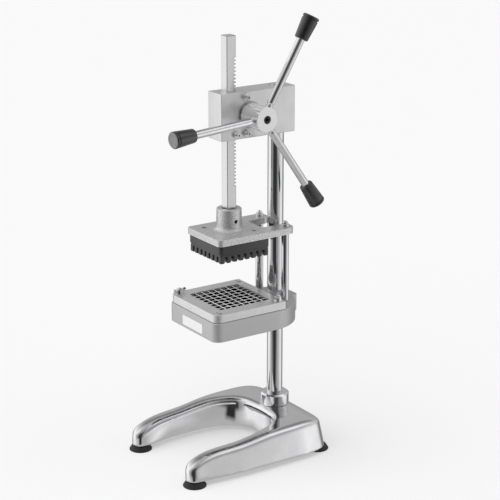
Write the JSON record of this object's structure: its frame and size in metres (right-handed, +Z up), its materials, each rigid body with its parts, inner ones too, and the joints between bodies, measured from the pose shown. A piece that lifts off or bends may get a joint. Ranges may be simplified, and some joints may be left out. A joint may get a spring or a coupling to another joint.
{
  "type": "french fry cutter",
  "caption": "Column-mounted lever french fry cutter: a turnstile drives a rack and pusher block that presses a potato through a crossed blade grid.",
  "frame": {"origin": "the ram's axis, which is also the middle of the blade grid, where it meets the worktop plane under the feet", "axes": "+Z up along the column and the ram; the open end of the base, where the user stands, is towards -Y; the turnstile is on the +X side"},
  "size_m": [0.2034, 0.2763, 0.6972],
  "materials": {
    "base_polished": "polished aluminium casting, mirror bright",
    "column_chrome": "hard chromed round bar",
    "collar_chrome": "polished chromed ring",
    "fastener_steel": "zinc plated steel",
    "fastener_black": "black oxide steel",
    "gearbox_aluminium": "brushed satin",
    "cover_steel": "brushed",
    "gib_brass": "machined",
    "flange_dark_steel": "blackened, turned",
    "gear_steel": "machined, oiled",
    "hub_chrome": "chromed side, satin turned face",
    "rack_chrome": "ground and chromed bar",
    "plate_cast_aluminium": "fine sand-cast skin",
    "block_black_plastic": "moulded",
    "rod_chrome": "chromed round bar",
    "casting_grey_paint": "smooth grey paint",
    "frame_aluminium": "satin",
    "wing_nut_chrome": "cast and plated",
    "spoke_chrome": "polished",
    "grip_black_plastic": "semi-gloss",
    "foot_rubber": "matt",
    "blade_steel": "sharpened strip"
  },
  "bodies": {
    "stand": {"base_casting": "base_polished", "foot_front_left": "foot_rubber", "foot_front_right": "foot_rubber", "foot_rear_left": "foot_rubber", "foot_rear_right": "foot_rubber", "foot_screws": "fastener_steel", "column": "column_chrome", "column_collar": "collar_chrome", "column_bottom_bolt": "fastener_steel", "column_top_bolt": "fastener_steel", "gearbox_housing": "gearbox_aluminium", "gearbox_cover": "cover_steel", "cover_screws": "fastener_steel", "rack_gib": "gib_brass", "gib_screws": "fastener_steel", "gib_lock_nuts": "fastener_steel", "shaft_bush_left": "gib_brass", "shaft_bush_flanged": "flange_dark_steel", "guide_rod_left": "rod_chrome", "guide_rod_right": "rod_chrome", "rod_nuts": "fastener_steel", "cutter_casting": "casting_grey_paint", "casting_clamp_screw": "fastener_black", "blade_frame": "frame_aluminium", "frame_studs": "fastener_steel", "frame_pins": "fastener_steel", "blade_across_1": "blade_steel", "blade_across_2": "blade_steel", "blade_across_3": "blade_steel", "blade_across_4": "blade_steel", "blade_across_5": "blade_steel", "blade_across_6": "blade_steel", "blade_across_7": "blade_steel", "blade_along_1": "blade_steel", "blade_along_2": "blade_steel", "blade_along_3": "blade_steel", "blade_along_4": "blade_steel", "blade_along_5": "blade_steel", "blade_along_6": "blade_steel", "blade_along_7": "blade_steel"},
    "ram": {"rack": "rack_chrome", "pusher_plate": "plate_cast_aluminium", "boss_set_screw": "fastener_black", "pusher_block": "block_black_plastic", "block_screws": "fastener_steel"},
    "turnstile": {"drive_pinion": "gear_steel", "pinion_shaft": "gear_steel", "pinion_pin": "gear_steel", "hub_key": "gear_steel", "hub": "hub_chrome", "hub_screw": "fastener_black", "spoke_1": "spoke_chrome", "spoke_2": "spoke_chrome", "spoke_3": "spoke_chrome", "grip_1": "grip_black_plastic", "grip_2": "grip_black_plastic", "grip_3": "grip_black_plastic"},
    "wing_front": {"wing_nut_front": "wing_nut_chrome"},
    "wing_rear": {"wing_nut_rear": "wing_nut_chrome"}
  },
  "joints": [
    {"name": "turnstile_turn", "type": "hinge", "parent": "stand", "child": "turnstile", "pos_m": [0, 0.02637, 0.5445], "axis": [1, 0, 0], "range_deg": [-14.2, 222]},
    {"name": "ram_slide", "type": "slide", "parent": "stand", "child": "ram", "axis": [0, 0, 1], "range_m": [-0.078, 0.005]},
    {"name": "wing_front_turn", "type": "hinge", "parent": "stand", "child": "wing_front", "pos_m": [-0.056, -0.056, 0.2567], "axis": [0, 0, 1], "range_deg": [0, 180]},
    {"name": "wing_rear_turn", "type": "hinge", "parent": "stand", "child": "wing_rear", "pos_m": [0.056, 0.0525, 0.2567], "axis": [0, 0, 1], "range_deg": [0, 180]}
  ],
  "couplings": [
    {"joint": "ram_slide", "follows": "turnstile_turn", "m_per_rad": -0.020125}
  ]
}
